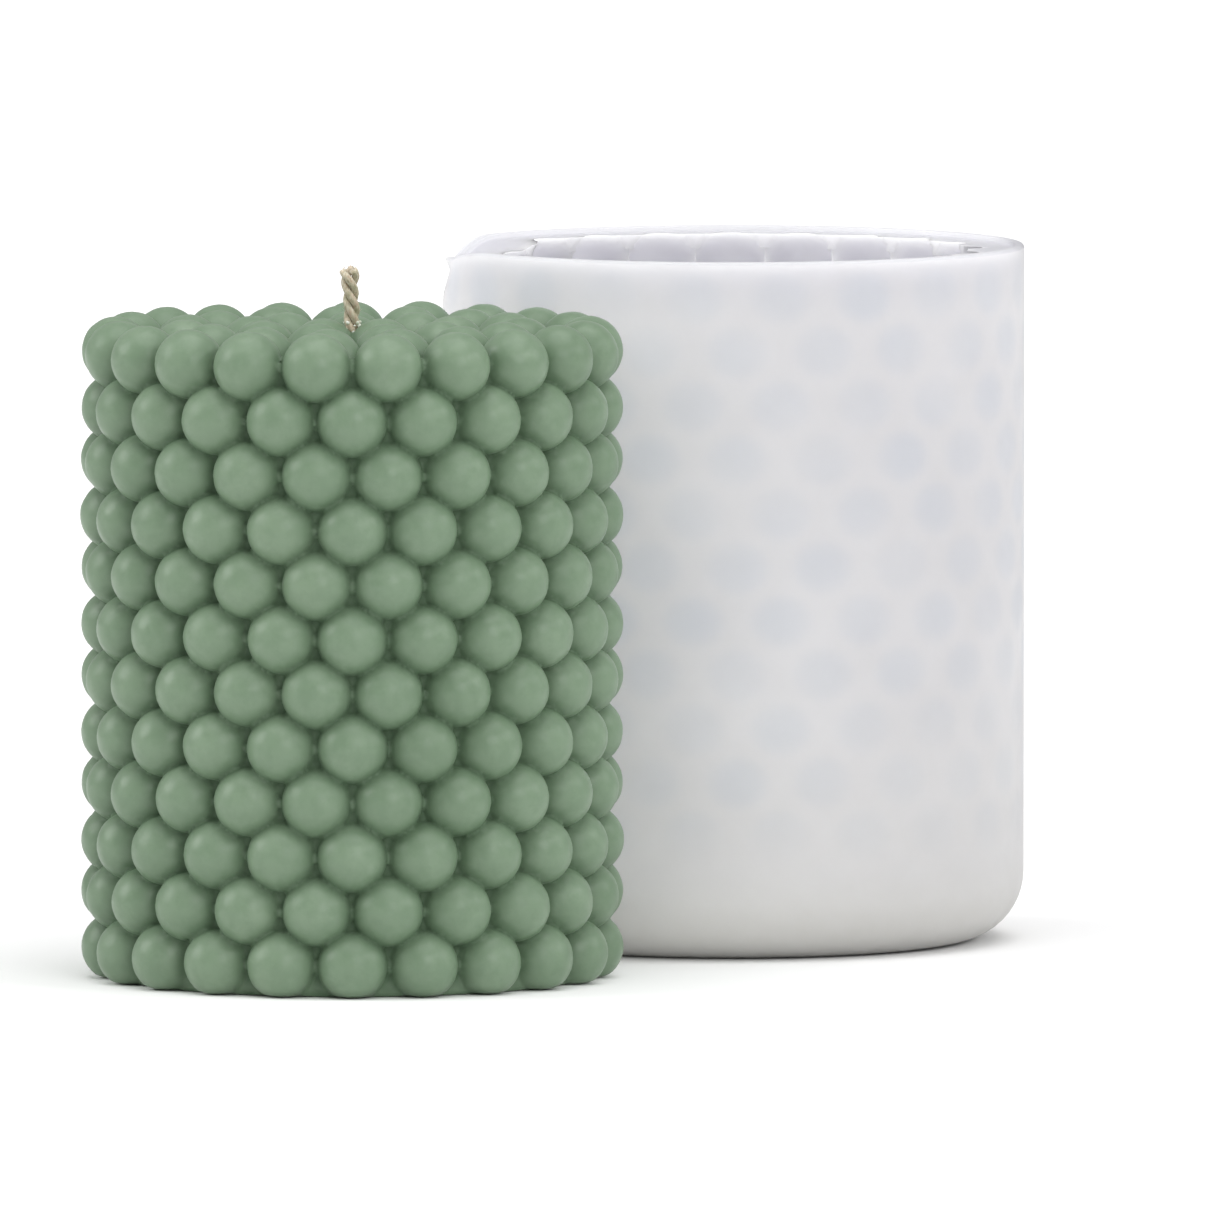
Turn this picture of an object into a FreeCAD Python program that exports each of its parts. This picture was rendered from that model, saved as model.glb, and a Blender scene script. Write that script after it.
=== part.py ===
import FreeCAD, Part
import math
import os

import Sketcher
from FreeCAD import Placement, Rotation, Vector

# Silicone mold for a bubble pillar candle, with the candle cast in it standing in front of it.
#
# Frame: millimetres, +Z up, front towards -Y. The origin is the middle of the mold's underside.
# The plane y = 0 parts the mold into its front and back halves. The mold stands the way it is
# filled: open end up, so its cavity is the candle upside down.

os.makedirs("parts", exist_ok=True)
doc = FreeCAD.newDocument("candle_mold")

# ---------------------------------------------------------------- driving sizes
# alias, value, what it is
SIZES = [
    # the candle
    ("per_ring", 21, "bubbles round the candle in one row"),
    ("row_count", 12, "rows of bubbles"),
    ("ring_radius", 30.54, "radius of the circle through the bubbles' centres"),
    ("bubble_radius", 4.46, "radius of one bubble"),
    ("row_pitch", 6.966, "height from one row to the next"),
    ("top_row_height", 80.6, "height of the top row's centres above the candle's base"),
    ("seat_radius", 2.0, "flat round pad on the candle's top, where the wick leaves it"),
    ("seat_height", 82.4, "height of that pad above the candle's base"),
    ("candle_x", -49.82, "where the candle stands"),
    ("candle_y", -53.89, "where the candle stands"),
    # the wick
    ("wick_bore_radius", 1.09, "tunnel through the wax"),
    ("wick_start", 0.4, "the cord's lower end, just inside the candle's base"),
    ("wick_end", 91.5, "the cord's trimmed upper end"),
    ("ply_radius", 0.44, "half thickness of one ply"),
    ("ply_orbit", 0.585, "radius of the helix the plies lie on"),
    ("lay_length", 6.4, "height in which a ply goes once round"),
    # the mold
    ("wax_growth", 1.003, "cavity over cast candle, for the wax's shrinkage"),
    ("mold_radius", 38.0, "outside of the wall"),
    ("mold_height", 91.0, "underside to rim"),
    ("foot_round", 9.0, "rounding of the outer bottom edge"),
    ("rim_round", 0.45, "rounding of the rim's outer edge"),
    ("lip_radius", 36.7, "inside of the thin lip above the fill line"),
    ("lip_depth", 0.7, "rim to fill line"),
    ("wick_hole_radius", 1.25, "hole in the floor for the wick"),
    ("slit_width", 0.1, "gap between the two halves when the mold is closed"),
]

# Rings of bubbles on the candle's top: bubbles in the ring, angle of the first in degrees
TOP_RINGS = [(15, -8.0), (9, 20.0), (3, 60.0)]
PLY_TURNS = [20.0, 140.0, 260.0]  # each ply's turn about the wick's axis, degrees

# Lengths by which the cutting and joining solids run past what they work on
SEAT_ROOT = 1  # the pad's cylinder starts this far under the top row's centres
BORE_OVERRUN = 2  # the wick's tunnel, past each end of the candle
HOLE_START, HOLE_LENGTH = -5, 20  # the wick hole's cylinder, from under the mold into the cavity
LIP_OVERRUN = 5  # the lip's bore, above the rim
RUN_OUT_TURNS = 0.4  # turns swept past each end of a ply before it is cut square
SLAB_HALF_WIDTH = 3  # block that trims a ply
SIDE_REACH = 100  # block that keeps one side of the mold, out from the axis in X and Y
SIDE_BOTTOM, SIDE_HEIGHT = -50, 200

MIN_FLOOR, MIN_WALL = 3, 2  # least silicone under and beside the bubbles
MAX_SHARED = 0.001  # volume that touching pieces may share, mm3

sheet = doc.addObject("Spreadsheet::Sheet", "Sizes")
for line, (alias, value, note) in enumerate(SIZES, start=1):
    sheet.set("A%d" % line, alias.replace("_", " "))
    sheet.set("B%d" % line, repr(value))
    sheet.setAlias("B%d" % line, alias)
    sheet.set("C%d" % line, note)
doc.recompute()


def size(alias):
    return float(sheet.get(alias))


def only_solid(shape, name):
    """The shape's one solid. Anything else is an error."""
    if shape.isNull() or not shape.isValid() or len(shape.Solids) != 1 or shape.Volume <= 0:
        raise RuntimeError("%s isn't one valid solid" % name)
    return shape.Solids[0]


def add_feature(name, shape, placement=Placement()):
    feature = doc.addObject("Part::Feature", name)
    feature.Shape = shape
    feature.Placement = placement
    return feature


def add_cylinder(name, radius, height):
    """An upright cylinder on the Z axis, its radius and height given as expressions."""
    cylinder = doc.addObject("Part::Cylinder", name)
    cylinder.setExpression("Radius", radius)
    cylinder.setExpression("Height", height)
    return cylinder


def move_to_candle(feature):
    """Bind the feature's place to the candle's axis."""
    feature.setExpression("Placement.Base.x", "Sizes.candle_x")
    feature.setExpression("Placement.Base.y", "Sizes.candle_y")


# ---------------------------------------------------------------- the bubbled form
def bubbled_form(scale):
    """The candle's outer form at that scale, standing on z = 0 with its axis on Z.

    Rows of half-round bubbles stand on a core with one flat per half step, so that each bubble is
    centred on a flat. The rows are staggered by half a step. Rings of bubbles at the same spacing
    cover the top, round a small flat pad for the wick.
    """
    per_ring, rows = int(size("per_ring")), int(size("row_count"))
    ring = scale * size("ring_radius")
    bubble = scale * size("bubble_radius")
    pitch = scale * size("row_pitch")
    top = scale * size("top_row_height")
    half_step = math.pi / per_ring

    def at(radius, angle, height):  # angles are counted from -Y, towards +X
        return Vector(radius * math.sin(angle), -radius * math.cos(angle), height)

    corner = ring / math.cos(half_step / 2)
    outline = [at(corner, (i + 0.5) * half_step, 0) for i in range(2 * per_ring)]
    core = Part.Face(Part.makePolygon(outline + outline[:1])).extrude(Vector(0, 0, top))

    # each ball's own axis points outward, square to its flat; in the top row it also leans up
    balls = []
    for row in range(rows):
        offset = 0.5 if row % 2 == 0 else 0.0
        lean = 1 if row == 0 else 0
        for i in range(per_ring):
            angle = (i + offset) * 2 * half_step
            centre = at(ring, angle, top - row * pitch)
            balls.append(Part.makeSphere(bubble, centre, at(1, angle, lean)))
    for count, first in TOP_RINGS:
        for i in range(count):
            angle = math.radians(first) + i * 2 * math.pi / count
            centre = at(ring * count / per_ring, angle, top)
            balls.append(Part.makeSphere(bubble, centre, Vector(0, 0, 1)))
    form = core.multiFuse(balls)

    # cut the lowest bubbles off flush with the base
    depth = 3 * bubble
    form = form.cut(Part.makeBox(4 * ring, 4 * ring, depth, Vector(-2 * ring, -2 * ring, -depth)))

    # the pad: filled up to its height, then cleared above it
    seat_radius, seat_top = scale * size("seat_radius"), scale * size("seat_height")
    root = Vector(0, 0, top - SEAT_ROOT)
    form = form.fuse(Part.makeCylinder(seat_radius, seat_top - top + SEAT_ROOT, root))
    form = form.cut(Part.makeCylinder(seat_radius, 3 * bubble, Vector(0, 0, seat_top)))
    return only_solid(form, "the bubbled form")


# ---------------------------------------------------------------- the candle
def build_candle():
    candle_blank = add_feature("candle_blank", bubbled_form(1.0))
    move_to_candle(candle_blank)

    bore_height = "Sizes.seat_height + %g" % (2 * BORE_OVERRUN)
    wick_bore = add_cylinder("wick_bore", "Sizes.wick_bore_radius", bore_height)
    wick_bore.Placement.Base.z = -BORE_OVERRUN
    move_to_candle(wick_bore)

    candle = doc.addObject("Part::Cut", "candle_body")
    candle.Base = candle_blank
    candle.Tool = wick_bore


# ---------------------------------------------------------------- the wick
def ply():
    """One round ply on its left-handed helix, cut square at both ends, axis on Z."""
    low, high = size("wick_start"), size("wick_end")
    pitch, orbit = size("lay_length"), size("ply_orbit")
    run_out = RUN_OUT_TURNS * pitch
    helix = Part.makeHelix(pitch, high - low + 2 * run_out, orbit, 0.0, True)

    # the helix starts at (orbit, 0, 0) and heads for -Y and up
    climb = math.atan2(pitch, 2 * math.pi * orbit)
    along = Vector(0, -math.cos(climb), math.sin(climb))
    section = Part.Wire(Part.makeCircle(size("ply_radius"), Vector(orbit, 0, 0), along))
    strand = Part.Wire(helix.Edges).makePipeShell([section], True, True)
    strand.translate(Vector(0, 0, low - run_out))

    width = 2 * SLAB_HALF_WIDTH
    corner = Vector(-SLAB_HALF_WIDTH, -SLAB_HALF_WIDTH, low)
    strand = strand.common(Part.makeBox(width, width, high - low, corner))
    return only_solid(strand, "a ply")


def build_wick():
    for number, turn in enumerate(PLY_TURNS, start=1):
        turned = Placement(Vector(), Rotation(Vector(0, 0, 1), turn))
        move_to_candle(add_feature("wick_ply_%d" % number, ply(), turned))


# ---------------------------------------------------------------- the mold's outside
def round_edge(shape, radius, height):
    """The name of the circular edge of that radius at that height."""
    for i, edge in enumerate(shape.Edges, start=1):
        curve = edge.Curve
        if isinstance(curve, Part.Circle) and abs(curve.Radius - radius) < 1e-3:
            if abs(curve.Center.z - height) < 1e-3:
                return "Edge%d" % i
    raise RuntimeError("no round edge at height %g" % height)


def draw_profile(body):
    """Half the mold's section, a rectangle from the axis out to the wall."""
    planes = {feature.Role: feature for feature in body.Origin.OriginFeatures}
    profile = body.newObject("Sketcher::SketchObject", "mold_profile")
    profile.AttachmentSupport = [(planes["XZ_Plane"], "")]
    profile.MapMode = "FlatFace"

    radius, height = size("mold_radius"), size("mold_height")
    corners = [Vector(0, 0), Vector(radius, 0), Vector(radius, height), Vector(0, height)]
    for start, end in zip(corners, corners[1:] + corners[:1]):
        profile.addGeometry(Part.LineSegment(start, end), False)

    for i in range(4):
        profile.addConstraint(Sketcher.Constraint("Coincident", i, 2, (i + 1) % 4, 1))
    for i, direction in enumerate(("Horizontal", "Vertical", "Horizontal", "Vertical")):
        profile.addConstraint(Sketcher.Constraint(direction, i))
    profile.addConstraint(Sketcher.Constraint("Coincident", 0, 1, -1, 1))
    reach = profile.addConstraint(Sketcher.Constraint("DistanceX", 0, 1, 0, 2, radius))
    profile.renameConstraint(reach, "reach")
    rise = profile.addConstraint(Sketcher.Constraint("DistanceY", 1, 1, 1, 2, height))
    profile.renameConstraint(rise, "rise")
    profile.setExpression("Constraints.reach", "Sizes.mold_radius")
    profile.setExpression("Constraints.rise", "Sizes.mold_height")
    return profile


def build_mold_blank():
    """The solid round blank, with its bottom and rim edges rounded."""
    body = doc.addObject("PartDesign::Body", "mold_blank")
    profile = draw_profile(body)
    solid = body.newObject("PartDesign::Revolution", "mold_turned")
    solid.Profile = profile
    solid.ReferenceAxis = (profile, ["V_Axis"])
    solid.Angle = 360
    doc.recompute()

    rounds = [
        ("mold_foot_round", 0.0, "Sizes.foot_round"),
        ("mold_rim_round", size("mold_height"), "Sizes.rim_round"),
    ]
    for name, height, radius in rounds:
        fillet = body.newObject("PartDesign::Fillet", name)
        fillet.Base = (solid, [round_edge(solid.Shape, size("mold_radius"), height)])
        fillet.setExpression("Radius", radius)
        body.Tip = fillet
        doc.recompute()
        solid = fillet
    return body


# ---------------------------------------------------------------- the mold's inside
def build_cavity():
    """The candle's form, a little larger, turned over about the X axis.

    The candle's base is the fill line, and its top is the mold's floor.
    """
    fill_line = "Sizes.mold_height - Sizes.lip_depth"
    turned_over = Placement(Vector(), Rotation(Vector(1, 0, 0), 180))
    form = add_feature("cavity_form", bubbled_form(size("wax_growth")), turned_over)
    form.setExpression("Placement.Base.z", fill_line)

    lip_bore = add_cylinder(
        "lip_bore", "Sizes.lip_radius", "Sizes.lip_depth + %g" % LIP_OVERRUN
    )
    lip_bore.setExpression("Placement.Base.z", fill_line)

    wick_hole = add_cylinder("wick_hole", "Sizes.wick_hole_radius", "%g" % HOLE_LENGTH)
    wick_hole.Placement.Base.z = HOLE_START

    cavity = doc.addObject("Part::MultiFuse", "cavity")
    cavity.Shapes = [form, lip_bore, wick_hole]
    return cavity


# ---------------------------------------------------------------- the mold's two halves
def build_half(name, cup, side_y):
    """The part of the cup inside a block whose lower Y limit is the expression side_y."""
    side = doc.addObject("Part::Box", name + "_side")
    side.Length = 2 * SIDE_REACH
    side.Width = SIDE_REACH
    side.Height = SIDE_HEIGHT
    side.Placement.Base.x = -SIDE_REACH
    side.Placement.Base.z = SIDE_BOTTOM
    side.setExpression("Placement.Base.y", side_y)
    half = doc.addObject("Part::Common", name)
    half.Base = cup
    half.Tool = side


def build_mold():
    cup = doc.addObject("Part::Cut", "mold_cup")
    cup.Base = build_mold_blank()
    cup.Tool = build_cavity()
    build_half("mold_front_half", cup, "-%g - Sizes.slit_width / 2" % SIDE_REACH)
    build_half("mold_back_half", cup, "Sizes.slit_width / 2")


build_candle()
build_wick()
build_mold()
doc.recompute()

# ---------------------------------------------------------------- checks, then one file per piece
for obj in doc.Objects:
    if "Invalid" in obj.State or "Error" in obj.State:
        raise RuntimeError("%s failed: %s" % (obj.Name, obj.State))

PLIES = ["wick_ply_%d" % number for number in range(1, len(PLY_TURNS) + 1)]
NODES = ["mold_front_half", "mold_back_half", "candle_body"] + PLIES
pieces = {name: only_solid(doc.getObject(name).Shape, name) for name in NODES}

# the plies lie beside each other inside their tunnel
for i, one in enumerate(PLIES):
    for other in PLIES[i + 1 :] + ["candle_body"]:
        shared = pieces[one].common(pieces[other]).Volume
        if shared > MAX_SHARED:
            raise RuntimeError("%s and %s share %.3f mm3" % (one, other, shared))

# the floor under the bubbles and the wall beside them keep their thickness
growth, bubble_radius = size("wax_growth"), size("bubble_radius")
cavity_depth = growth * (size("top_row_height") + bubble_radius)
floor = size("mold_height") - size("lip_depth") - cavity_depth
wall = size("mold_radius") - growth * (size("ring_radius") + bubble_radius)
if floor < MIN_FLOOR or wall < MIN_WALL:
    raise RuntimeError("the mold is too thin: floor %.2f, wall %.2f" % (floor, wall))

for name, piece in pieces.items():
    piece.exportStep("parts/%s.step" % name)
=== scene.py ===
"""Looks for a two-flap silicone mold and the bubble candle cast in it.

Both stand on the floor, z = 0. The camera looks along +Y, so the front is -Y and the left is -X.
The mold's flaps are cut apart on the left and joined on the right. Its cavity holds the candle's
form upside down. Lengths are millimetres in the pieces' own frames, and MM turns them into metres.
"""
import math

import bmesh
import bpy
import numpy as np
from mathutils import Matrix, Vector, kdtree


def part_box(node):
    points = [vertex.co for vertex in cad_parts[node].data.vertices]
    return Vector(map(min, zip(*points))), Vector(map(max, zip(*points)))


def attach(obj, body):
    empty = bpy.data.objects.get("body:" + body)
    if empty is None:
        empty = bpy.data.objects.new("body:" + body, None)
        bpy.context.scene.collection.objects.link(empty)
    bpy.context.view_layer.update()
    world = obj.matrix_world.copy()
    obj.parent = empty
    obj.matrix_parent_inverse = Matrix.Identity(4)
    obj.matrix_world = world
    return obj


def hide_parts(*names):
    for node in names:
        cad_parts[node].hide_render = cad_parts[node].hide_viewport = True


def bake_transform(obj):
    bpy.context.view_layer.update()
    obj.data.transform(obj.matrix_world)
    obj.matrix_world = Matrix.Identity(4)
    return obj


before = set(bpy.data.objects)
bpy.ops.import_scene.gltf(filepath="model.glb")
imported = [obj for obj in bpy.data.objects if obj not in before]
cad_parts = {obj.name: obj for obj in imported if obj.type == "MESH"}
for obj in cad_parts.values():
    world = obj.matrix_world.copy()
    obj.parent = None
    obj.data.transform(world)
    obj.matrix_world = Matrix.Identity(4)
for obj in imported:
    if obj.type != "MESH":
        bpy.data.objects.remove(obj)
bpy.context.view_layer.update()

MM = 0.001
TURN = 2 * math.pi
QUARTER = math.pi / 2

# ------------------------------------------------------------------ places, from the CAD frame
candle_lo, candle_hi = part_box("candle_body")
front_lo, front_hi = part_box("mold_front_half")
back_lo, back_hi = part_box("mold_back_half")
wick_lo, wick_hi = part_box("wick_ply_1")

CANDLE_X = (candle_lo.x + candle_hi.x) / 2 / MM
CANDLE_Y = (candle_lo.y + candle_hi.y) / 2 / MM
CANDLE_PLACE = np.array([CANDLE_X, CANDLE_Y, 0])
MOLD_X = (front_lo.x + front_hi.x) / 2 / MM
MOLD_Y = (front_lo.y + back_hi.y) / 2 / MM
MOLD_PLACE = np.array([MOLD_X, MOLD_Y, 0])
MOLD_R = (front_hi.x - front_lo.x) / 2 / MM
MOLD_H = front_hi.z / MM
HALF_SLIT = back_lo.y / MM - MOLD_Y  # half the gap between the flaps
WICK_TOP, WICK_LOW = wick_hi.z / MM, wick_lo.z / MM

# ------------------------------------------------------------------ the bubbled form
# in proportion to the candle's height
SCALE = (candle_hi.z - candle_lo.z) / MM / 85.06
PER_RING, ROWS = 21, 12
RING_R = 30.54 * SCALE  # from the axis to the side bubbles' centres
BALL_R = 4.46 * SCALE
ROW_PITCH = 6.966 * SCALE
TOP_Z = 80.6 * SCALE  # centres of the top bubbles
SEAT_R, SEAT_Z = 2.0 * SCALE, 82.4 * SCALE  # the flat pad round the wick
# rings of bubbles on the top: count, first azimuth in degrees
TOP_RINGS = ((15, -8.0), (9, 20.0), (3, 60.0))


def form_centres():
    """Bubble centres: staggered rows round the side, then the rings on the top."""
    centres = []

    def place(radius, azimuth, z):
        centres.append((radius * math.sin(azimuth), -radius * math.cos(azimuth), z))

    for row in range(ROWS):
        offset = 0.5 if row % 2 == 0 else 0.0
        for i in range(PER_RING):
            place(RING_R, (i + offset) * (TURN / PER_RING), TOP_Z - row * ROW_PITCH)
    for count, first in TOP_RINGS:
        for i in range(count):
            place(RING_R * count / PER_RING, math.radians(first) + i * TURN / count, TOP_Z)
    return np.array(centres)


# ------------------------------------------------------------------ mesh helpers
def smoothstep(t):
    t = np.clip(t, 0.0, 1.0)
    return t * t * (3 - 2 * t)


def waves(points, seed, shortest, longest):
    """Smooth noise, about -1 to 1: a sum of sine waves with the given range of wavelengths."""
    count = 18
    draw = np.random.default_rng(seed)
    total = np.zeros(len(points))
    for _ in range(count):
        way = draw.normal(size=3)
        way /= np.linalg.norm(way)
        total += np.sin(
            points @ way * (TURN / draw.uniform(shortest, longest)) + draw.uniform(0, 6.28)
        )
    return total / math.sqrt(count / 2) / 1.6


def link_object(name, mesh):
    obj = bpy.data.objects.new(name, mesh)
    bpy.context.scene.collection.objects.link(obj)
    return obj


def candle_object(name, points, faces):
    """A smooth, closed object from points round the candle's axis."""
    mesh = bpy.data.meshes.new(name)
    mesh.from_pydata(((points + CANDLE_PLACE) * MM).tolist(), [], faces)
    mesh.update()
    obj = link_object(name, mesh)
    bm = bmesh.new()
    bm.from_mesh(mesh)
    bmesh.ops.remove_doubles(bm, verts=bm.verts, dist=1e-7)
    bmesh.ops.recalc_face_normals(bm, faces=bm.faces)
    bm.to_mesh(mesh)
    bm.free()
    mesh.shade_smooth()
    return obj


def coords(mesh):
    flat = np.zeros(len(mesh.vertices) * 3)
    mesh.vertices.foreach_get("co", flat)
    return flat.reshape(-1, 3)


def set_candle_coords(mesh, points):
    """Move the vertices to points round the candle's axis."""
    metres = (points + CANDLE_PLACE) * MM
    mesh.vertices.foreach_set("co", np.asarray(metres, np.float32).ravel())
    mesh.update()


def point_value(mesh, name, values):
    attribute = mesh.attributes.new(name, "FLOAT", "POINT")
    attribute.data.foreach_set("value", np.asarray(values, np.float32))


def apply_modifiers(obj):
    depsgraph = bpy.context.evaluated_depsgraph_get()
    done = bpy.data.meshes.new_from_object(obj.evaluated_get(depsgraph))
    obj.modifiers.clear()
    old = obj.data
    obj.data = done
    bpy.data.meshes.remove(old)


def voxel_remesh(obj, voxel_size):
    remesh = obj.modifiers.new("remesh", "REMESH")
    remesh.mode = "VOXEL"
    remesh.voxel_size = voxel_size
    apply_modifiers(obj)


def keep_largest(obj):
    """Drop every loose bit but the main skin."""
    bm = bmesh.new()
    bm.from_mesh(obj.data)
    seen, islands = set(), []
    for vert in bm.verts:
        if vert in seen:
            continue
        island, todo = {vert}, [vert]
        while todo:
            here = todo.pop()
            for edge in here.link_edges:
                other = edge.other_vert(here)
                if other not in island:
                    island.add(other)
                    todo.append(other)
        seen |= island
        islands.append(island)
    main = max(islands, key=len)
    bmesh.ops.delete(bm, geom=[v for v in bm.verts if v not in main], context="VERTS")
    bmesh.ops.recalc_face_normals(bm, faces=bm.faces)
    bm.to_mesh(obj.data)
    bm.free()


# ------------------------------------------------------------------ the candle
CREASE_FILL = 0.16  # how softly the creases between bubbles are filled
BASE_ROUND = 0.22  # how softly the side turns into the base
VOXEL = 0.36
MAX_TRIANGLES = 188000
TUNNEL_R = 1.75  # everything nearer the axis than this belongs to the wick's tunnel
NEAREST = 4  # bubbles that shape each point


def cast_bubbles():
    """Centres and radii of the bubbles, each slightly off its ideal."""
    centres = form_centres()
    draw = np.random.default_rng(5)
    radii = BALL_R + draw.normal(0, 0.035, len(centres)).clip(-0.07, 0.05)
    radii[-3:] = BALL_R
    jitter = draw.normal(0, 0.03, centres.shape).clip(-0.06, 0.06)
    jitter[:, 2] = np.where(centres[:, 2] > TOP_Z - 0.1, 0, jitter[:, 2])
    return centres + jitter, radii


def form_distance(points, centres, radii):
    """Signed distance to the form and its slope, given each point's nearest bubbles."""
    offset = points[:, None, :] - centres
    length = np.linalg.norm(offset, axis=2)
    rho = np.hypot(points[:, 0], points[:, 1]) + 1e-9
    out = np.stack([points[:, 0] / rho, points[:, 1] / rho, np.zeros(len(points))], 1)
    up = np.tile([0.0, 0, 1], (len(points), 1))

    def cylinder(radius, top):
        beside, above = rho - radius, points[:, 2] - top
        slope = np.where((beside > above)[:, None], out, up)
        return np.maximum(beside, above)[:, None], slope[:, None]

    core, core_slope = cylinder(RING_R + 0.05, TOP_Z)
    seat, seat_slope = cylinder(SEAT_R * 1.1, SEAT_Z)
    parts = np.concatenate([length - radii, core, seat], 1)
    slopes = np.concatenate([offset / length[:, :, None], core_slope, seat_slope], 1)

    # soft union of the bubbles, the core and the seat
    low = parts.min(1)
    weight = np.exp(-(parts - low[:, None]) / CREASE_FILL)
    total = weight.sum(1)
    form = low - CREASE_FILL * np.log(total)
    slope = (slopes * (weight / total[:, None])[:, :, None]).sum(1)

    # soft cut at the base
    under = -points[:, 2]
    high = np.maximum(form, under)
    by_form, by_base = np.exp((form - high) / BASE_ROUND), np.exp((under - high) / BASE_ROUND)
    slope = slope * by_form[:, None] + np.array([0, 0, -1.0]) * by_base[:, None]
    slope /= (by_form + by_base)[:, None]
    return high + BASE_ROUND * np.log(by_form + by_base), slope


def settle(mesh, tree, all_centres, all_radii, turns):
    """Draw the vertices onto the form and add unevenness. Returns how creased each point is."""
    points = coords(mesh) / MM - CANDLE_PLACE
    near = np.array([[i for _, i, _ in tree.find_n(point, NEAREST)] for point in points])
    centres, radii = all_centres[near], all_radii[near]
    for _ in range(turns):
        distance, slope = form_distance(points, centres, radii)
        steepness = (slope * slope).sum(1)
        step = (distance / np.maximum(steepness, 0.35)).clip(-0.4, 0.4)
        points = points - slope * step[:, None]

    # small unevenness from casting, none at the base
    _, normal = form_distance(points, centres, radii)
    normal /= np.linalg.norm(normal, axis=1)[:, None] + 1e-9
    uneven = 0.035 * waves(points, seed=3, shortest=7, longest=19)
    uneven += 0.018 * waves(points, seed=4, shortest=1.6, longest=4.0)
    lift = smoothstep(points[:, 2] / 1.5)
    moved = points + normal * (uneven * lift)[:, None]
    moved[:, 2] = np.maximum(moved[:, 2], 0.0)
    set_candle_coords(mesh, moved)

    # crease: 0 on a bubble's crown and on the base, 1 at the bottom of a crease; the wax's colour
    # takes painted shade from it
    nearest = np.sort(np.linalg.norm(points[:, None, :] - centres, axis=2), axis=1)
    apart = nearest[:, 1] - nearest[:, 0]
    crease = np.exp(-((apart / 0.9) ** 2)) * 0.75 + np.exp(-((apart / 2.6) ** 2)) * 0.25
    crease[(points[:, 2] < 0.25) & (normal[:, 2] < -0.8)] = 0
    return crease


def drop_tunnel(mesh):
    """Remove the points near the axis and cap the holes they leave."""
    bm = bmesh.new()
    bm.from_mesh(mesh)
    axis = Vector((CANDLE_X * MM, CANDLE_Y * MM, 0))
    inner = [v for v in bm.verts if math.hypot(v.co.x - axis.x, v.co.y - axis.y) < TUNNEL_R * MM]
    bmesh.ops.delete(bm, geom=inner, context="VERTS")
    bmesh.ops.holes_fill(bm, edges=[e for e in bm.edges if e.is_boundary], sides=0)
    bmesh.ops.triangulate(bm, faces=[f for f in bm.faces if len(f.verts) > 4])
    bm.to_mesh(mesh)
    bm.free()


def build_candle():
    centres, radii = cast_bubbles()
    obj = link_object("wax_pillar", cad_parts["candle_body"].data.copy())
    obj.data.materials.clear()
    voxel_remesh(obj, VOXEL * MM)
    drop_tunnel(obj.data)

    tree = kdtree.KDTree(len(centres))
    for i, centre in enumerate(centres):
        tree.insert(centre, i)
    tree.balance()

    settle(obj.data, tree, centres, radii, turns=5)
    triangles = sum(len(face.vertices) - 2 for face in obj.data.polygons)
    if triangles > MAX_TRIANGLES:
        decimate = obj.modifiers.new("decimate", "DECIMATE")
        decimate.ratio = MAX_TRIANGLES / triangles
        apply_modifiers(obj)
    keep_largest(obj)
    point_value(obj.data, "crease", settle(obj.data, tree, centres, radii, turns=4))
    obj.data.shade_smooth()
    return obj


# ------------------------------------------------------------------ the wick
LAY = 6.4  # height of one full turn of a ply
ORBIT = 0.585  # from the cord's axis to a ply's
PLY_R = 0.44
PLY_TURNS = (20.0, 140.0, 260.0)  # degrees, at the wick's low end
PLY_TRIMS = (0.25, 0.0, 0.4)  # how far each ply stops below the top
PLY_STEPS = 330
FIBRES, END_FIBRES = 46, 24  # all the loose fibres, and those at the cut end


def tube(path, radius_at, around, lobes=0, lobe_depth=0.0, lobe_turn=0.0):
    """A closed tube along path (n x 3). radius_at(s) with s from 0 to 1."""
    count = len(path)
    tangent = np.gradient(path, axis=0)
    tangent /= np.linalg.norm(tangent, axis=1)[:, None]
    side = np.zeros_like(path)
    across = np.array([1.0, 0, 0]) if abs(tangent[0][0]) < 0.8 else np.array([0, 1.0, 0])
    for i in range(count):
        across = across - tangent[i] * (across @ tangent[i])
        across = across / np.linalg.norm(across)
        side[i] = across
    other = np.cross(tangent, side)
    steps = np.linalg.norm(np.diff(path, axis=0), axis=1)
    length = np.concatenate([[0], np.cumsum(steps)])
    angles = np.linspace(0, TURN, around, endpoint=False)
    rings = []
    for i in range(count):
        twisted = angles + lobe_turn * length[i]
        swell = 1 + lobe_depth * np.abs(np.sin(lobes * 0.5 * twisted))
        radius = (radius_at(length[i] / length[-1]) * swell)[:, None]
        ring = path[i] + np.cos(angles)[:, None] * side[i] * radius
        rings.append(ring + np.sin(angles)[:, None] * other[i] * radius)
    ends = [path[:1] - tangent[:1] * 0.02, path[-1:] + tangent[-1:] * 0.03]
    faces = []
    for i in range(count - 1):
        for j in range(around):
            a, b = i * around + j, i * around + (j + 1) % around
            faces.append((a, b, b + around, a + around))
    first, last, last_ring = count * around, count * around + 1, (count - 1) * around
    for j in range(around):
        following = (j + 1) % around
        faces.append((first, following, j))
        faces.append((last, last_ring + j, last_ring + following))
    return np.concatenate(rings + ends), faces


def ply_angle(turn, z):
    return math.radians(turn) - TURN * (z - WICK_LOW) / LAY


def ply_path(turn, top):
    """The middle line of one ply: a left-handed helix that opens a little at its cut end."""
    z = np.linspace(WICK_LOW, top, PLY_STEPS)
    angle = ply_angle(turn, z)
    orbit = ORBIT * (1 + 0.42 * smoothstep((z - (top - 3.4)) / 3.4))
    lean = 0.34 * smoothstep((z - (top - 6)) / 6)
    return np.stack([orbit * np.cos(angle) - lean, orbit * np.sin(angle) - 0.15 * lean, z], 1)


def ply_radius(s):
    return PLY_R * (0.955 + 0.10 * smoothstep((s - 0.965) / 0.035))


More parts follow.
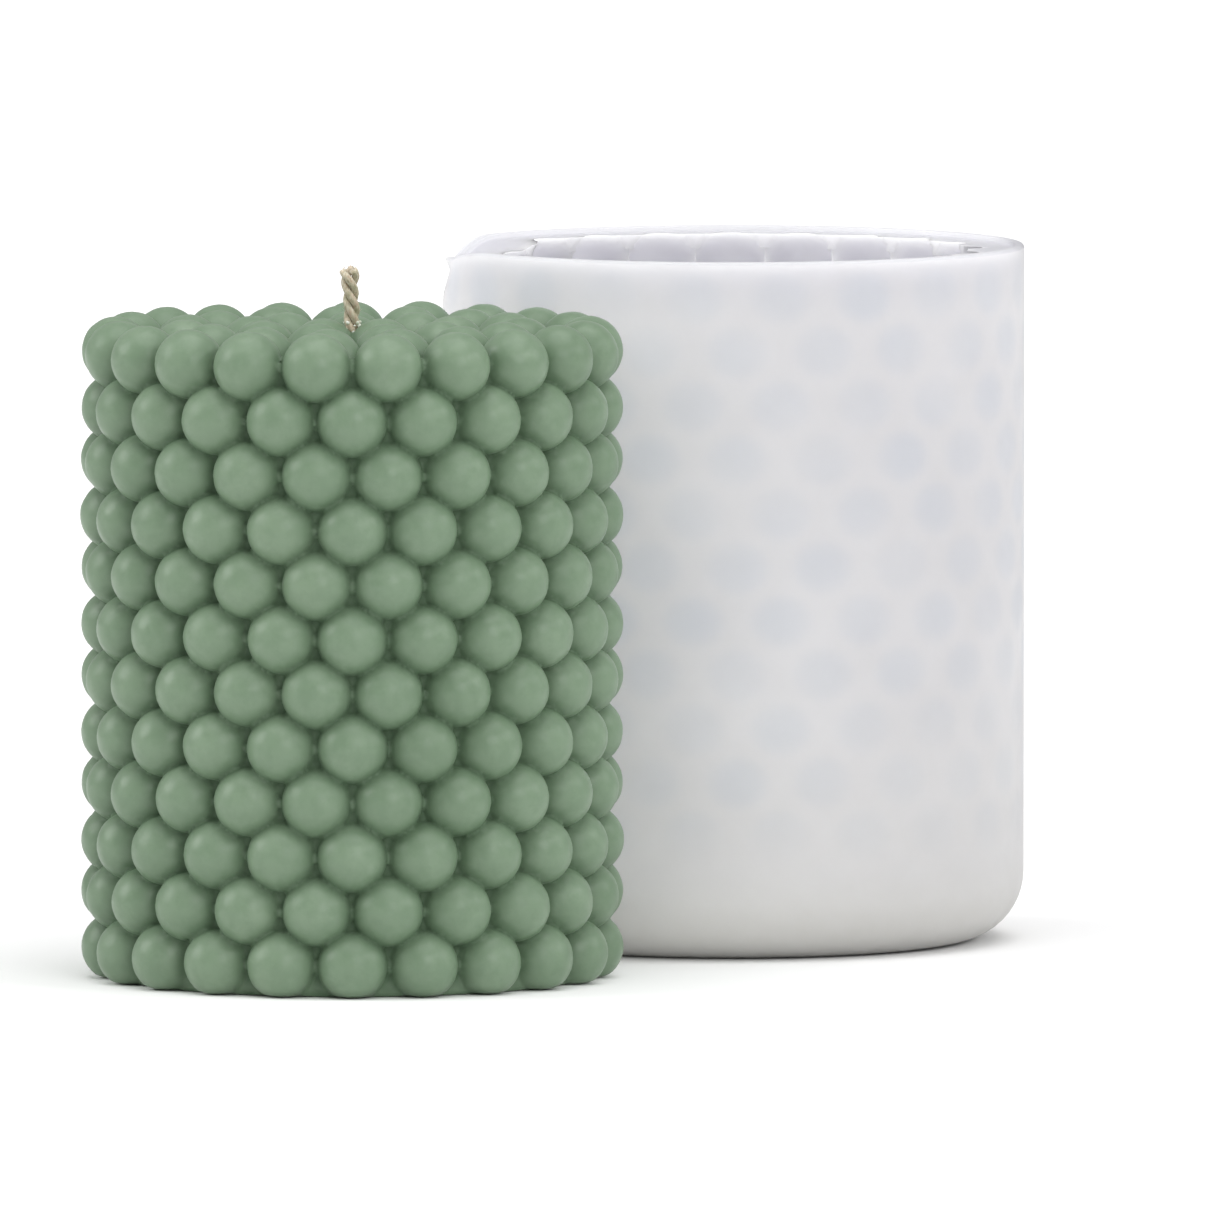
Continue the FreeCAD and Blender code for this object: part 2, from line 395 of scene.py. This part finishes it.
def build_ply(number, turn, trim):
    path = ply_path(turn, WICK_TOP - trim)
    points, faces = tube(path, ply_radius, around=28, lobes=9, lobe_depth=0.13, lobe_turn=1.05)
    draw = np.random.default_rng(30 + number)
    # the trimmed end is ragged
    top = points[:, 2] > WICK_TOP - 1.3
    ragged = 0.22 * draw.random(top.sum()) - 0.22
    points[top, 2] += ragged * smoothstep((points[top, 2] - WICK_TOP + 1.2) / 0.8)
    points += 0.012 * draw.normal(size=points.shape) * (points[:, 2:3] > SEAT_Z)
    return candle_object("wick_cord_%d" % number, points, faces)


def build_fibres():
    """Loose fibres along the exposed cord and at its cut end."""
    draw = np.random.default_rng(77)
    points, faces, base = [], [], 0
    reach = ORBIT + PLY_R * 0.8
    for j in range(FIBRES):
        at_end = j < END_FIBRES
        turn = draw.choice(PLY_TURNS) + draw.uniform(-45, 45)
        if at_end:
            root_z = WICK_TOP - draw.uniform(0.1, 1.2)
        else:
            root_z = draw.uniform(SEAT_Z + 1.0, WICK_TOP - 1.5)
        angle = ply_angle(turn, root_z)
        cos, sin = math.cos(angle), math.sin(angle)
        root = np.array([reach * cos, reach * sin, root_z])
        out = np.array([cos, sin, 0])
        along = np.array([sin * 0.5, -cos * 0.5, 0.86])
        length = draw.uniform(0.35, 0.8) if at_end else draw.uniform(0.5, 1.3)
        s = np.linspace(0, 1, 9)[:, None]
        bend = draw.uniform(0.15, 0.45)
        path = root - out * 0.12 + along * length * s + out * length * bend * s**2
        path = path + draw.normal(0, 0.05, 3) * s**2
        path[:, 0] -= 0.3 * smoothstep((root_z - (WICK_TOP - 6)) / 6)  # follows the cord's lean
        path[:, 2] = np.minimum(path[:, 2], WICK_TOP + 0.35)
        fibre, fibre_faces = tube(path, lambda s: 0.030 * (1 - 0.55 * s), around=6)
        points.append(fibre)
        faces += [tuple(k + base for k in face) for face in fibre_faces]
        base += len(fibre)
    return candle_object("wick_fibres", np.concatenate(points), faces)


def build_flecks():
    """Scraps of pale wax left on the cord where it leaves the candle."""
    draw = np.random.default_rng(12)
    # spots: distance from the axis, angle, height, size; first the skirt of wax round the cord
    skirt = np.linspace(0, TURN, 9, endpoint=False)
    spots = [(0.95, angle, SEAT_Z + 0.15, 0.42) for angle in skirt]
    for _ in range(24):
        angle = draw.uniform(0, TURN)
        rise = draw.uniform(0.3, 2.1)
        radius = draw.uniform(0.95, 1.40 - 0.12 * rise)
        spots.append((radius, angle, SEAT_Z + rise, draw.uniform(0.20, 0.40 - 0.06 * rise)))
    bm = bmesh.new()
    for radius, angle, z, size in spots:
        place = Matrix.Translation((radius * math.cos(angle), radius * math.sin(angle), z))
        place = place @ Matrix.Rotation(draw.uniform(0, 3), 4, Vector(draw.normal(size=3)))
        width, depth = size * draw.uniform(0.6, 1.0), size * draw.uniform(0.5, 1.0)
        place = place @ Matrix.Diagonal((size, width, depth, 1))
        bmesh.ops.create_icosphere(bm, subdivisions=2, radius=1.0, matrix=place)
    mesh = bpy.data.meshes.new("wick_wax_flecks")
    bm.to_mesh(mesh)
    bm.free()
    obj = link_object("wick_wax_flecks", mesh)
    voxel_remesh(obj, 0.085)  # the mesh is still in millimetres
    points = coords(obj.data)
    rough = [waves(points, seed=seed, shortest=0.5, longest=1.4) for seed in (51, 52, 53)]
    set_candle_coords(obj.data, points + 0.035 * np.stack(rough, 1))
    obj.data.shade_smooth()
    return obj


# ------------------------------------------------------------------ the mold's flaps
GROW = 1.003  # the cavity is this much larger than the form
CAVITY_CENTRES = GROW * form_centres()
CAVITY_RING, CAVITY_BALL, CAVITY_TOP = GROW * RING_R, GROW * BALL_R, GROW * TOP_Z
PAD_R = GROW * SEAT_R
LEDGE_Z = MOLD_H - 0.7  # the ledge inside the rim, level with the form's base
FLOOR_Z = LEDGE_Z - CAVITY_TOP  # centres of the bubbles in the cavity's floor
PAD_Z = LEDGE_Z - GROW * SEAT_Z
LIP_R = MOLD_R - 1.3  # the rim's inner edge
RIM_ROUND, LIP_ROUND = 0.45, 0.2
HOLE_R = 1.25  # the wick hole
FOOT = 9.0  # rounding between the underside and the outer wall
WALL_STEPS = 118
CORNER_STEPS = 13
LINING_STEP = 0.6
COLUMNS_PER_BUBBLE = 14
CREASE_ANGLE = math.radians(52)  # edges sharper than this stay crisp

# parts of the wall's outline, in order; the lining is LEDGE and above
UNDERSIDE, WALL, RIM, LEDGE, CAVITY, BORE = range(6)

# the cut corners at the slit: by distance from it, the corner's drop holds to `start` and is gone
# after `fade`; the tip falls off over `tip` and is pushed to +X over the top `push_depth`
CUT_CORNERS = {
    1: dict(start=8.0, fade=12.0, tip=5.0, drop=2.0, tip_drop=0.5, push=1.1, push_depth=8.0),
    -1: dict(start=1.0, fade=19.0, tip=1.4, drop=1.7, tip_drop=0.0, push=-0.75, push_depth=2.2),
}


def exits(origins, directions, floor_value, soft=0.11):
    """How far rays from inside the form run before they leave it, with softened creases."""
    found = []
    for i in range(0, len(origins), 4000):
        part = slice(i, i + 4000)
        offset = origins[part][:, None, :] - CAVITY_CENTRES[None]
        b = (offset * directions[part][:, None, :]).sum(2)
        disc = b * b - (offset * offset).sum(2) + CAVITY_BALL**2
        reach = np.where(disc > 0, -b + np.sqrt(np.maximum(disc, 0)), -50.0)
        reach = np.concatenate([reach, floor_value[part][:, None]], 1)
        most = reach.max(1)
        found.append(most + soft * np.log(np.exp((reach - most[:, None]) / soft).sum(1)))
    return np.concatenate(found)


def form_directions(azimuths):
    """Outward directions in the form's frame, which is the mold's turned over about X."""
    phi = QUARTER - azimuths
    return np.stack([np.sin(phi), -np.cos(phi), np.zeros(len(azimuths))], 1)


def flap_profile(azimuths):
    """Closed outlines of the wall's section, one for each azimuth.

    Returns radii and heights (azimuth x station), and each station's kind and way. The way is how
    far along the section a station lies, on both of its sides: 0 at the axis, 1 at the corner and
    2 at the rim.
    """
    count = len(azimuths)
    out = form_directions(azimuths)
    ring = np.full(count, CAVITY_RING)
    none = np.zeros(count)
    stations = []

    def add(radius, height, kind, way):
        both = [np.broadcast_to(value, (count,)) for value in (radius, height)]
        stations.append((*both, kind, way))

    # underside, from the wick hole outwards, then the foot's rounding and the outer wall
    for radius in np.linspace(HOLE_R + 0.25, MOLD_R - FOOT, 14):
        add(radius, 0.0, UNDERSIDE, radius / MOLD_R)
    foot_in, foot_out = (MOLD_R - FOOT) / MOLD_R, 1 + FOOT / MOLD_H
    for a in np.linspace(0, QUARTER, 13)[1:]:
        way = foot_in + (foot_out - foot_in) * a / QUARTER
        add(MOLD_R - FOOT + FOOT * math.sin(a), FOOT - FOOT * math.cos(a), WALL, way)
    for z in np.linspace(FOOT, MOLD_H - RIM_ROUND, WALL_STEPS)[1:]:
        add(MOLD_R, z, WALL, 1 + z / MOLD_H)
    # the rim's two roundings, down to the ledge
    rim_r, rim_z = MOLD_R - RIM_ROUND, MOLD_H - RIM_ROUND
    for a in np.linspace(0, QUARTER, 6)[1:]:
        add(rim_r + RIM_ROUND * math.cos(a), rim_z + RIM_ROUND * math.sin(a), RIM, 2.0 + 0.01 * a)
    lip_r, lip_z = LIP_R + LIP_ROUND, MOLD_H - LIP_ROUND
    for a in np.linspace(0, QUARTER, 4):
        add(lip_r - LIP_ROUND * math.sin(a), lip_z + LIP_ROUND * math.cos(a), RIM, 2.1 + 0.01 * a)
    add(LIP_R, LEDGE_Z + 0.15, LEDGE, 1.9945)
    ledge_r = LIP_R - 0.15
    add(ledge_r, LEDGE_Z, LEDGE, 1.994)
    edge = exits(np.tile([0.0, 0, 0.02], (count, 1)), out, ring)
    for s in (0.25, 0.5, 0.75):
        add(ledge_r + (edge - ledge_r) * s, LEDGE_Z, LEDGE, 1.9937 - 0.001 * s)
    # the cavity's wall, downwards
    for form_z in np.linspace(0, CAVITY_TOP, int(round(CAVITY_TOP / LINING_STEP))):
        radius = exits(np.tile([0.0, 0, form_z], (count, 1)), out, ring)
        add(radius, LEDGE_Z - form_z, CAVITY, 1 + (LEDGE_Z - form_z) / MOLD_H)
    # round the corner into the floor
    corner_in, corner_out = CAVITY_RING / MOLD_R, 1 + FLOOR_Z / MOLD_H
    corner = out * CAVITY_RING + np.array([0, 0, CAVITY_TOP])
    for a in np.linspace(0, QUARTER, CORNER_STEPS)[1:]:
        reach = exits(corner, out * math.cos(a) + np.array([0, 0, math.sin(a)]), none, 0.08)
        way = corner_out + (corner_in - corner_out) * a / QUARTER
        add(CAVITY_RING + reach * math.cos(a), FLOOR_Z - reach * math.sin(a), CAVITY, way)
    # the cavity's floor, inwards to the pad and the wick hole
    straight = np.tile([0.0, 0, 1], (count, 1))
    for radius in np.linspace(CAVITY_RING, PAD_R, int(CAVITY_RING / LINING_STEP))[1:]:
        reach = exits(out * radius + np.array([0, 0, CAVITY_TOP]), straight, none, 0.08)
        pad = smoothstep((PAD_R + 0.35 - radius) / 0.7)
        depth = reach * (1 - pad) + (FLOOR_Z - PAD_Z) * pad
        add(radius, FLOOR_Z - depth, CAVITY, radius / MOLD_R)
    for radius in (PAD_R * 0.9, HOLE_R + 0.15):
        add(radius, PAD_Z, CAVITY, radius / MOLD_R)
    for z in np.linspace(PAD_Z - 0.15, 0.25, 9):
        add(HOLE_R, z, BORE, 0.001 * z)
    radii, heights, kinds, ways = zip(*stations)
    return np.array(radii).T, np.array(heights).T, np.array(kinds), ways


def wall_thickness(azimuths, z):
    """How much silicone lies between the outer wall and the cavity."""
    form_z = LEDGE_Z - z
    none = np.zeros(len(azimuths))
    origins = np.stack([none, none, np.clip(form_z, 0, CAVITY_TOP)], 1)
    ring = np.full(len(azimuths), CAVITY_RING)
    reach = exits(origins, form_directions(azimuths), ring, 0.4)
    below = np.clip(form_z - CAVITY_TOP, 0, None)  # under the cavity's corner
    rounded = np.sqrt(np.maximum((reach - CAVITY_RING) ** 2 - below**2, 0))
    return MOLD_R - np.where(below > 0, rounded + CAVITY_RING - below * 1.3, reach)


def skin_values(points, azimuths, kinds):
    """Values from 0 to about 1 that the silicone's shader reads at each point."""
    z = points[:, 2]
    outer = (kinds == WALL) & (z > 1.0)
    thick = np.zeros(len(points))
    thick[outer] = wall_thickness(azimuths[outer], z[outer])
    # painted shade: where the wall over the cavity is thin, it is darkened and made a little
    # bluer, as if the cavity's shade showed through; the cavity's lining gets a little of it
    thin_wall_shade = 1 - smoothstep((thick - 2.8) / 2.5)
    # the painted shade where the wall is thin varies in strength from place to place
    thin_wall_shade *= 0.8 + 0.3 * waves(points, seed=62, shortest=9, longest=26)
    thin_wall_shade = np.clip(thin_wall_shade, 0, 1.1) * smoothstep((z - 8.0) / 14.0)
    thin_wall_shade[~outer] = 0.0
    thin_wall_shade[kinds == CAVITY] = 0.25
    # painted shade: the outer wall and the underside are darker towards the bottom, most in a band
    # just above the floor
    foot = 0.55 * (1 - smoothstep((z - 2.0) / 11.0)) + 0.45 * (1 - smoothstep(z / 46.0))
    # painted shade: the rim and the ledge are darkened, and the top of the outer wall a little,
    # against the light from above
    rim = np.where(kinds == RIM, 1.0, np.where(kinds == LEDGE, 0.8, 0.0))
    # the two flaps are one wall on the right, so light mustn't leak out of their joint
    joint = 1 - smoothstep((np.abs(points[:, 1]) - 1.0) / 15.0)
    return {
        "thin_wall_shade": thin_wall_shade,
        "foot": np.where(kinds <= WALL, foot, 0.0),
        "rim": np.where(outer, 0.45 * smoothstep((z - 83.0) / 8.0), rim),
        # painted light: the ledge and the cavity's lining are lightened, as if lit through the
        # translucent walls
        "inside": np.where(kinds >= LEDGE, 1.0, 0.0),
        "joint": np.where(points[:, 0] > 0, joint, 0.0),
    }


def lip_shape(points, side):
    """The wall leans in at the slit near the rim, and its cut corners have rounded."""
    x, y, z = points.T
    away = np.abs(y)  # near the slit, the distance along the wall from it
    left = x < 0
    cut = CUT_CORNERS[side]

    def near_top(depth):
        return smoothstep((z - (MOLD_H - depth)) / depth)

    corner = (1 - smoothstep((away - cut["start"]) / cut["fade"])) * left
    tip = np.exp(-((away / cut["tip"]) ** 2)) * left
    moved = points.copy()
    moved[:, 0] += 1.15 * np.exp(-((away / 10.0) ** 2)) * left * near_top(10.0) ** 1.6
    moved[:, 0] += cut["push"] * tip * near_top(cut["push_depth"])
    moved[:, 2] -= (cut["drop"] * corner + cut["tip_drop"] * tip) * near_top(8.0)
    # hand-cut silicone isn't perfectly round
    swell = 0.16 * waves(points * np.array([1, 1, 0.6]), seed=61, shortest=38, longest=95)
    swell = smoothstep(z / 20.0) * swell * smoothstep(away / 6.0)
    rho = np.hypot(x, y) + 1e-9
    moved[:, 0] += x / rho * swell
    moved[:, 1] += y / rho * swell
    return moved


def cut_face(base, kinds, ways):
    """Triangles between the outer side and the lining of the section that starts at base."""
    outside = [k for k in range(len(kinds)) if kinds[k] <= RIM]
    lining = [k for k in range(len(kinds) - 1, -1, -1) if kinds[k] >= LEDGE]
    faces = []
    i = j = 0
    while i < len(outside) - 1 or j < len(lining) - 1:
        lining_done = j == len(lining) - 1
        outside_left = i < len(outside) - 1
        if lining_done or (outside_left and ways[outside[i + 1]] <= ways[lining[j + 1]]):
            faces.append((base + outside[i], base + outside[i + 1], base + lining[j]))
            i += 1
        else:
            faces.append((base + outside[i], base + lining[j + 1], base + lining[j]))
            j += 1
    return faces


def flap_azimuths(side):
    """Columns that fall on the bubbles' middles and on the ridges between them."""
    step = TURN / PER_RING / COLUMNS_PER_BUBBLE
    count = int(round(math.pi / step))
    inner = [QUARTER % step + j * step for j in range(-1, count + 2)]
    inner = [a for a in inner if 0.25 * step < a < math.pi - 0.25 * step]
    return np.array([0.0] + inner + [math.pi]) * side


def build_flap(name, side):
    """One flap of the mold: side is 1 for the back and -1 for the front."""
    azimuths = flap_azimuths(side)
    radii, heights, kinds, ways = flap_profile(azimuths)
    columns, stations = radii.shape
    x = radii * np.cos(azimuths)[:, None]
    y = radii * np.sin(azimuths)[:, None]
    # all but the joint on the right keeps its gap
    y = np.where(x < MOLD_R - 9.0, side * np.maximum(np.abs(y), HALF_SLIT), y)
    points = np.stack([x, y, heights], 2).reshape(-1, 3)
    values = skin_values(points, np.repeat(azimuths, stations), np.tile(kinds, columns))

    faces = []
    for i in range(columns - 1):
        here, beyond = i * stations, (i + 1) * stations
        for j in range(stations):
            k = (j + 1) % stations
            faces.append((here + j, here + k, beyond + k, beyond + j))
    for base in (0, (columns - 1) * stations):
        faces += cut_face(base, kinds, ways)

    bm = bmesh.new()
    verts = [bm.verts.new(point) for point in (lip_shape(points, side) + MOLD_PLACE) * MM]
    for face in faces:
        bm.faces.new([verts[k] for k in face])
    bmesh.ops.recalc_face_normals(bm, faces=bm.faces)
    mesh = bpy.data.meshes.new(name)
    bm.to_mesh(mesh)
    bm.free()
    for key, value in values.items():
        point_value(mesh, key, value)
    obj = link_object(name, mesh)
    mesh.shade_smooth()
    # the cut faces stay crisp where they meet the skin
    bm = bmesh.new()
    bm.from_mesh(mesh)
    for edge in bm.edges:
        if len(edge.link_faces) == 2 and edge.calc_face_angle(0) > CREASE_ANGLE:
            edge.smooth = False
    bm.to_mesh(mesh)
    bm.free()
    return obj


# ------------------------------------------------------------------ materials
def srgb(*channels):
    """A linear colour from sRGB channels of 0 to 255."""

    def linear(value):
        value /= 255
        return value / 12.92 if value <= 0.04045 else ((value + 0.055) / 1.055) ** 2.4

    return (*map(linear, channels), 1.0)


class Surface:
    """A material whose textures are laid out in object space."""

    def __init__(self, name):
        self.material = bpy.data.materials.new(name)
        self.material.use_nodes = True
        self.tree = self.material.node_tree
        self.place = self.node("ShaderNodeTexCoord").outputs["Object"]

    def fill(self, node, inputs):
        for key, value in inputs.items():
            if isinstance(value, bpy.types.NodeSocket):
                self.tree.links.new(value, node.inputs[key])
            else:
                node.inputs[key].default_value = value

    def node(self, kind, inputs=None, **settings):
        made = self.tree.nodes.new(kind)
        for key, value in settings.items():
            setattr(made, key, value)
        self.fill(made, inputs or {})
        return made

    def noise(self, scale, detail=3.0, roughness=0.55, distortion=0.0, vector=None):
        inputs = {"Scale": scale, "Detail": detail, "Roughness": roughness}
        inputs.update({"Distortion": distortion, "Vector": vector or self.place})
        return self.node("ShaderNodeTexNoise", inputs).outputs["Fac"]

    def ramp(self, value, stops):
        """Eased ramp. stops: position -> colour or grey level."""
        made = self.node("ShaderNodeValToRGB", {"Fac": value})
        made.color_ramp.interpolation = "EASE"
        while len(made.color_ramp.elements) < len(stops):
            made.color_ramp.elements.new(0.5)
        for element, (position, colour) in zip(made.color_ramp.elements, stops.items()):
            element.position = position
            element.color = colour if isinstance(colour, tuple) else (colour,) * 3 + (1,)
        return made.outputs["Color"]

    def math(self, operation, a, b, clamp=False):
        inputs = {0: a, 1: b}
        return self.node("ShaderNodeMath", inputs, operation=operation, use_clamp=clamp).outputs[0]

    def times(self, a, b, clamp=False):
        return self.math("MULTIPLY", a, b, clamp)

    def plus(self, a, b):
        return self.math("ADD", a, b)

    def inverse(self, a):
        return self.math("SUBTRACT", 1.0, a, clamp=True)

    def mix(self, base, over, amount):
        inputs = {"Fac": amount, "Color1": base, "Color2": over}
        return self.node("ShaderNodeMixRGB", inputs).outputs[0]

    def attribute(self, name):
        return self.node("ShaderNodeAttribute", attribute_name=name).outputs["Fac"]

    def bump(self, height, strength, distance):
        inputs = {"Strength": strength, "Distance": distance, "Height": height}
        return self.node("ShaderNodeBump", inputs).outputs["Normal"]

    def finish(self, inputs):
        self.fill(self.tree.nodes["Principled BSDF"], inputs)
        return self.material


def wax_material():
    wax = Surface("sage_wax")
    broad = wax.noise(scale=38, roughness=0.5)
    fine = wax.noise(scale=420, detail=4.0, roughness=0.6)
    sage = {0.30: srgb(106, 128, 103), 0.52: srgb(112, 134, 109), 0.75: srgb(119, 140, 115)}
    mottle = wax.ramp(fine, {0.35: srgb(94, 118, 92), 0.62: srgb(132, 152, 128)})
    colour = wax.mix(wax.ramp(broad, sage), mottle, amount=0.14)
    # painted shade: the creases between the bubbles are darkened in the colour, where shade falls
    painted_crease_shade = wax.times(wax.attribute("crease"), 0.54)
    colour = wax.mix(colour, srgb(58, 80, 57), amount=painted_crease_shade)
    # pale patches on the bubbles' crowns, kept out of the creases: partly the bloom that wax gets,
    # partly a painted sheen on the crowns
    patches = wax.ramp(wax.noise(scale=150, detail=5.0, roughness=0.65), {0.52: 0.0, 0.72: 1.0})
    bloom_and_sheen = wax.times(patches, 0.16)
    crown = wax.inverse(wax.attribute("crease"))
    colour = wax.mix(colour, srgb(150, 168, 146), amount=wax.times(bloom_and_sheen, crown))
    sheen = wax.noise(scale=240, detail=4.0, roughness=0.6)
    # relief: grain, broad dents and pits
    pits = wax.node("ShaderNodeTexVoronoi", {"Scale": 520, "Vector": wax.place})
    pits = wax.ramp(pits.outputs["Distance"], {0.0: 0.0, 0.16: 1.0})
    grain = wax.times(wax.noise(scale=900, detail=4.0, roughness=0.6), 0.35)
    relief = wax.plus(grain, wax.times(wax.noise(scale=140, detail=2.0), 1.0))
    relief = wax.plus(relief, wax.times(pits, 0.25))
    return wax.finish({
        "Base Color": colour,
        "Roughness": wax.ramp(sheen, {0.3: 0.36, 0.7: 0.50}),
        "IOR": 1.44,
        "Specular IOR Level": wax.plus(0.08, wax.times(crown, 0.42)),
        "Subsurface Weight": 0.22,
        "Subsurface Radius": (0.9, 1.0, 0.8),
        "Subsurface Scale": 0.0010,
        "Coat Weight": wax.times(crown, 0.10),
        "Coat Roughness": 0.22,
        "Normal": wax.bump(relief, strength=0.22, distance=0.00022),
    })


def cord_material():
    cord = Surface("waxed_cotton")
    # noise stretched along slanting fibres
    stretched = cord.node("ShaderNodeMapping", {
        "Vector": cord.place,
        "Rotation": (math.radians(24), math.radians(14), 0),
        "Scale": (5200, 5200, 700),
    })
    fibres = cord.noise(scale=1.0, roughness=0.6, vector=stretched.outputs["Vector"])
    pink = cord.noise(scale=900, detail=2.0, roughness=0.5)
    olive = cord.noise(scale=640, detail=2.0, roughness=0.5, distortion=0.4)
    cotton = {0.30: srgb(166, 151, 127), 0.50: srgb(200, 189, 165), 0.74: srgb(228, 222, 205)}
    colour = cord.ramp(fibres, cotton)
    amount = cord.times(cord.ramp(pink, {0.48: 0.0, 0.66: 1.0}), 0.36)
    colour = cord.mix(colour, srgb(196, 156, 138), amount)
    amount = cord.times(cord.ramp(olive, {0.50: 0.0, 0.68: 1.0}), 0.60)
    colour = cord.mix(colour, srgb(146, 144, 106), amount)
    return cord.finish({
        "Base Color": colour,
        "Roughness": 0.62,
        "Sheen Weight": 0.25,
        "Sheen Roughness": 0.5,
        "Subsurface Weight": 0.2,
        "Subsurface Radius": (1.0, 0.8, 0.6),
        "Subsurface Scale": 0.0004,
        "Normal": cord.bump(fibres, strength=0.55, distance=0.00009),
    })


def fleck_material():
    fleck = Surface("wax_flecks")
    pale = {0.3: srgb(196, 205, 184), 0.6: srgb(236, 238, 228)}
    return fleck.finish({
        "Base Color": fleck.ramp(fleck.noise(scale=1400), pale),
        "Roughness": fleck.ramp(fleck.noise(scale=2000, detail=2.0), {0.3: 0.35, 0.7: 0.6}),
        "Subsurface Weight": 0.3,
        "Subsurface Radius": (1.0, 1.0, 0.9),
        "Subsurface Scale": 0.0006,
        "Normal": fleck.bump(fleck.noise(scale=2600), strength=0.4, distance=0.00008),
    })


def silicone_material():
    skin = Surface("milky_silicone")
    cloud = skin.noise(scale=26, roughness=0.5)
    grain = skin.noise(scale=300)
    # painted shade: where the wall is thin its colour is darker and bluer, standing in for the
    # cavity's shade showing through
    thick = skin.ramp(cloud, {0.3: srgb(192, 191, 193), 0.7: srgb(198, 197, 199)})
    thin_wall_shade = skin.ramp(cloud, {0.3: srgb(182, 184, 190), 0.7: srgb(188, 190, 195)})
    colour = skin.mix(thick, thin_wall_shade, amount=skin.times(skin.attribute("thin_wall_shade"), 0.8, clamp=True))
    # attribute, its weight, its colour; each row paints light or shade: foot darker towards the
    # bottom, inside lighter as if lit through the walls, rim darker against the light from above
    for name, weight, tint in (
        ("foot", 0.7, srgb(177, 176, 170)),
        ("inside", 0.85, srgb(209, 208, 213)),
        ("rim", 0.75, srgb(166, 166, 173)),
    ):
        colour = skin.mix(colour, tint, amount=skin.times(skin.attribute(name), weight))
    colour = skin.mix(colour, srgb(236, 236, 239), amount=skin.times(grain, 0.08))
    sheen = skin.noise(scale=120, detail=4.0, roughness=0.6)
    dents = skin.times(skin.noise(scale=34, detail=2.0), 1.0)
    relief = skin.plus(dents, skin.times(skin.noise(scale=1200), 0.05))
    return skin.finish({
        "Base Color": colour,
        "Roughness": skin.ramp(sheen, {0.3: 0.38, 0.7: 0.52}),
        "IOR": 1.41,
        "Subsurface Weight": skin.inverse(skin.attribute("joint")),
        "Subsurface Radius": (1.0, 1.0, 1.04),
        "Subsurface Scale": 0.010,
        "Normal": skin.bump(relief, strength=0.25, distance=0.0006),
    })


def floor_material():
    ground = Surface("studio_floor")
    white = {0.3: srgb(248, 248, 248), 0.7: srgb(252, 252, 252)}
    return ground.finish({
        "Base Color": ground.ramp(ground.noise(scale=3, detail=2.0), white),
        "Roughness": 0.9,
        "Specular IOR Level": 0.1,
    })


# ------------------------------------------------------------------ build
wax = build_candle()
wax.data.materials.append(wax_material())
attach(wax, "candle")
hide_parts("candle_body")

cord = cord_material()
plies = [build_ply(i + 1, PLY_TURNS[i], PLY_TRIMS[i]) for i in range(3)]
for piece in plies + [build_fibres()]:
    piece.data.materials.append(cord)
    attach(piece, "candle")
for i, ply in enumerate(plies, start=1):
    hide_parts("wick_ply_%d" % i)

flecks = build_flecks()
flecks.data.materials.append(fleck_material())
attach(flecks, "candle")

silicone = silicone_material()
front = build_flap("silicone_front_flap", -1)
front.data.materials.append(silicone)
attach(front, "mold_front")
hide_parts("mold_front_half")

# the back flap, built in place with its placement baked into its mesh
back = build_flap("silicone_back_flap", 1)
back.data.materials.append(silicone)
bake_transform(back)
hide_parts("mold_back_half")

# ------------------------------------------------------------------ stage and light
# the floor lies a hair below z = 0
bpy.ops.mesh.primitive_circle_add(
    vertices=96, radius=6.0, fill_type="NGON", location=(0, 0, -0.00005)
)
floor = bpy.context.object
floor.name = "studio_floor"
floor.data.materials.append(floor_material())

world = bpy.data.worlds.new("studio")
bpy.context.scene.world = world
world.use_nodes = True
background = world.node_tree.nodes["Background"]
background.inputs["Color"].default_value = (1, 1, 1, 1)
background.inputs["Strength"].default_value = 0.45


def aim(obj, direction):
    obj.rotation_euler = direction.to_track_quat("-Z", "Y").to_euler()


def sun(name, source, strength, angle):
    """A sun that shines from source towards the origin; angle is its width in degrees."""
    light = bpy.data.lights.new(name, "SUN")
    light.energy = strength
    light.angle = math.radians(angle)
    obj = link_object(name, light)
    aim(obj, -Vector(source))
    return obj


# broad light from above, softer ones from the front right and the sides, and a small
# window-like one for the glints
sun("overhead", source=(0.05, -0.12, 1.0), strength=1.62, angle=60)
sun("front", source=(0.38, -1.0, 0.45), strength=0.80, angle=30)
sun("right", source=(1.0, -0.05, 0.50), strength=0.42, angle=25)
sun("left", source=(-1.0, 0.0, 0.60), strength=1.12, angle=35)
sun("window", source=(0.90, -0.62, 0.66), strength=0.24, angle=6)

# the mold keeps its own light from the front left, which the candle doesn't shade
mold_fill = sun("mold_fill", source=(-0.88, -0.75, 0.22), strength=1.35, angle=40)
only_mold = bpy.data.collections.new("lit_by_mold_fill")
only_mold.objects.link(front)
only_mold.objects.link(back)
mold_fill.light_linking.receiver_collection = only_mold
mold_fill.light_linking.blocker_collection = only_mold

# ------------------------------------------------------------------ camera
CAMERA_DISTANCE = 3567.04  # in front of the candle's axis
CAMERA_HEIGHT = 327.51
CAMERA_DOWN, CAMERA_RIGHT = 0.0783, 0.0092  # radians, from looking level along +Y
SENSOR_WIDTH, FOCAL_LENGTH = 36.0, 823.954893

camera_data = bpy.data.cameras.new("camera")
camera = link_object("camera", camera_data)
camera_data.sensor_width = SENSOR_WIDTH
camera_data.lens = FOCAL_LENGTH
camera_data.clip_start, camera_data.clip_end = 0.1, 30.0
camera.location = (CANDLE_X * MM, (CANDLE_Y - CAMERA_DISTANCE) * MM, CAMERA_HEIGHT * MM)
level = math.cos(CAMERA_DOWN)
aim(camera, Vector((
    math.sin(CAMERA_RIGHT) * level, math.cos(CAMERA_RIGHT) * level, -math.sin(CAMERA_DOWN)
)))
bpy.context.scene.camera = camera
bpy.context.scene.view_settings.view_transform = "Standard"
